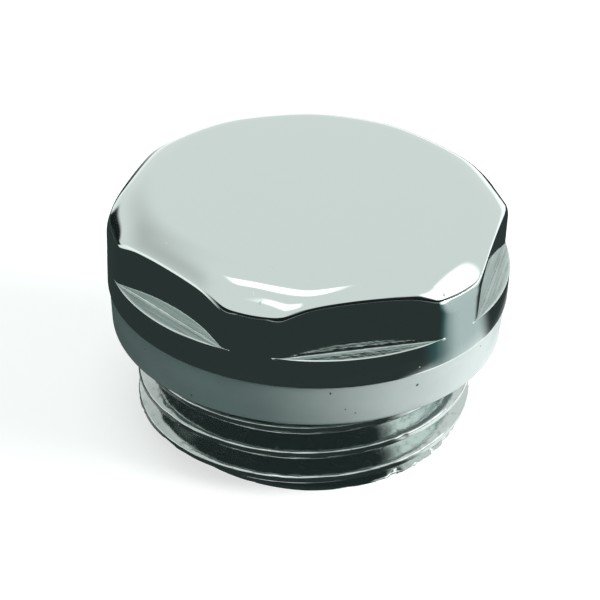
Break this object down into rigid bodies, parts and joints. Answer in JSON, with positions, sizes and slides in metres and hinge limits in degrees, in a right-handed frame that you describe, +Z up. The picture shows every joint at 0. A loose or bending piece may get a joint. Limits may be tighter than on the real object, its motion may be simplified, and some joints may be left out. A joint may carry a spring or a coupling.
{
  "type": "radiator blanking plug",
  "caption": "Chromed blanking plug with spanner flats milled on a round crowned head, a plastic sealing ring under its collar and a hollow parallel pipe thread.",
  "frame": {"origin": "middle of the thread's end, on the plane that the plug stands on", "axes": "+Z up the plug's axis to the crown of the head; +X square to one spanner flat"},
  "size_m": [0.0244, 0.0244, 0.0154],
  "materials": {
    "chromed_brass": "bright chrome plate, polished head, worn thread",
    "seal_plastic": "matte, slightly translucent white"
  },
  "bodies": {
    "root": {"plug_body": "chromed_brass", "sealing_ring": "seal_plastic"}
  },
  "joints": []
}
